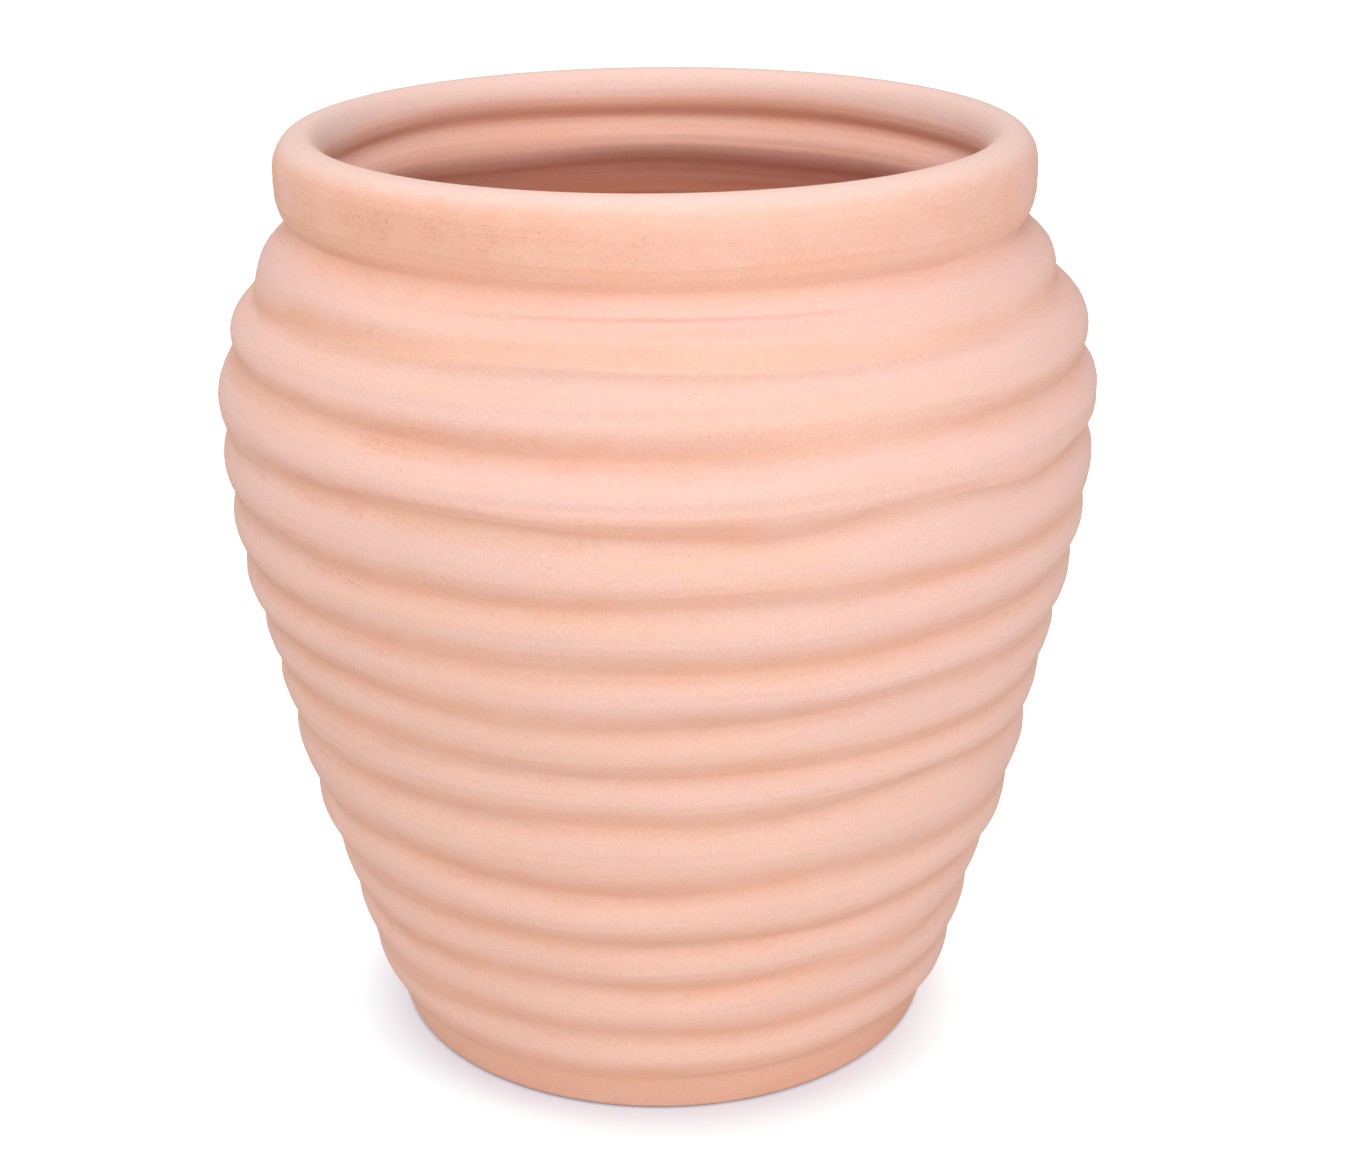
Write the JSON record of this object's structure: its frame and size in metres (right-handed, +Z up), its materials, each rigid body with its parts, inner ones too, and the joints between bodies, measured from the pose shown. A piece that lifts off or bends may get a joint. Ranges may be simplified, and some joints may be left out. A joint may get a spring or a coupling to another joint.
{
  "type": "terracotta flower pot",
  "caption": "Large unglazed terracotta planter with a rolled rim, soft horizontal ribs, a belly high on the body and a drain hole.",
  "frame": {"origin": "middle of the flat underside, on the ground", "axes": "+Z up along the axis that the pot is turned about; +X to the right of the pictured view, +Y away from it"},
  "size_m": [0.4978, 0.4978, 0.5325],
  "materials": {
    "base_slab": "matte, darker and more orange at the foot",
    "lower_wall": "matte, chalky, fine horizontal throwing lines",
    "middle_wall": "matte, chalky, fine horizontal throwing lines",
    "shoulder_wall": "matte, chalky bloom on the ribs",
    "rim_collar": "matte, fine orange grain"
  },
  "bodies": {
    "root": {"base_slab": "base_slab", "lower_wall": "lower_wall", "middle_wall": "middle_wall", "shoulder_wall": "shoulder_wall", "rim_collar": "rim_collar"}
  },
  "joints": []
}
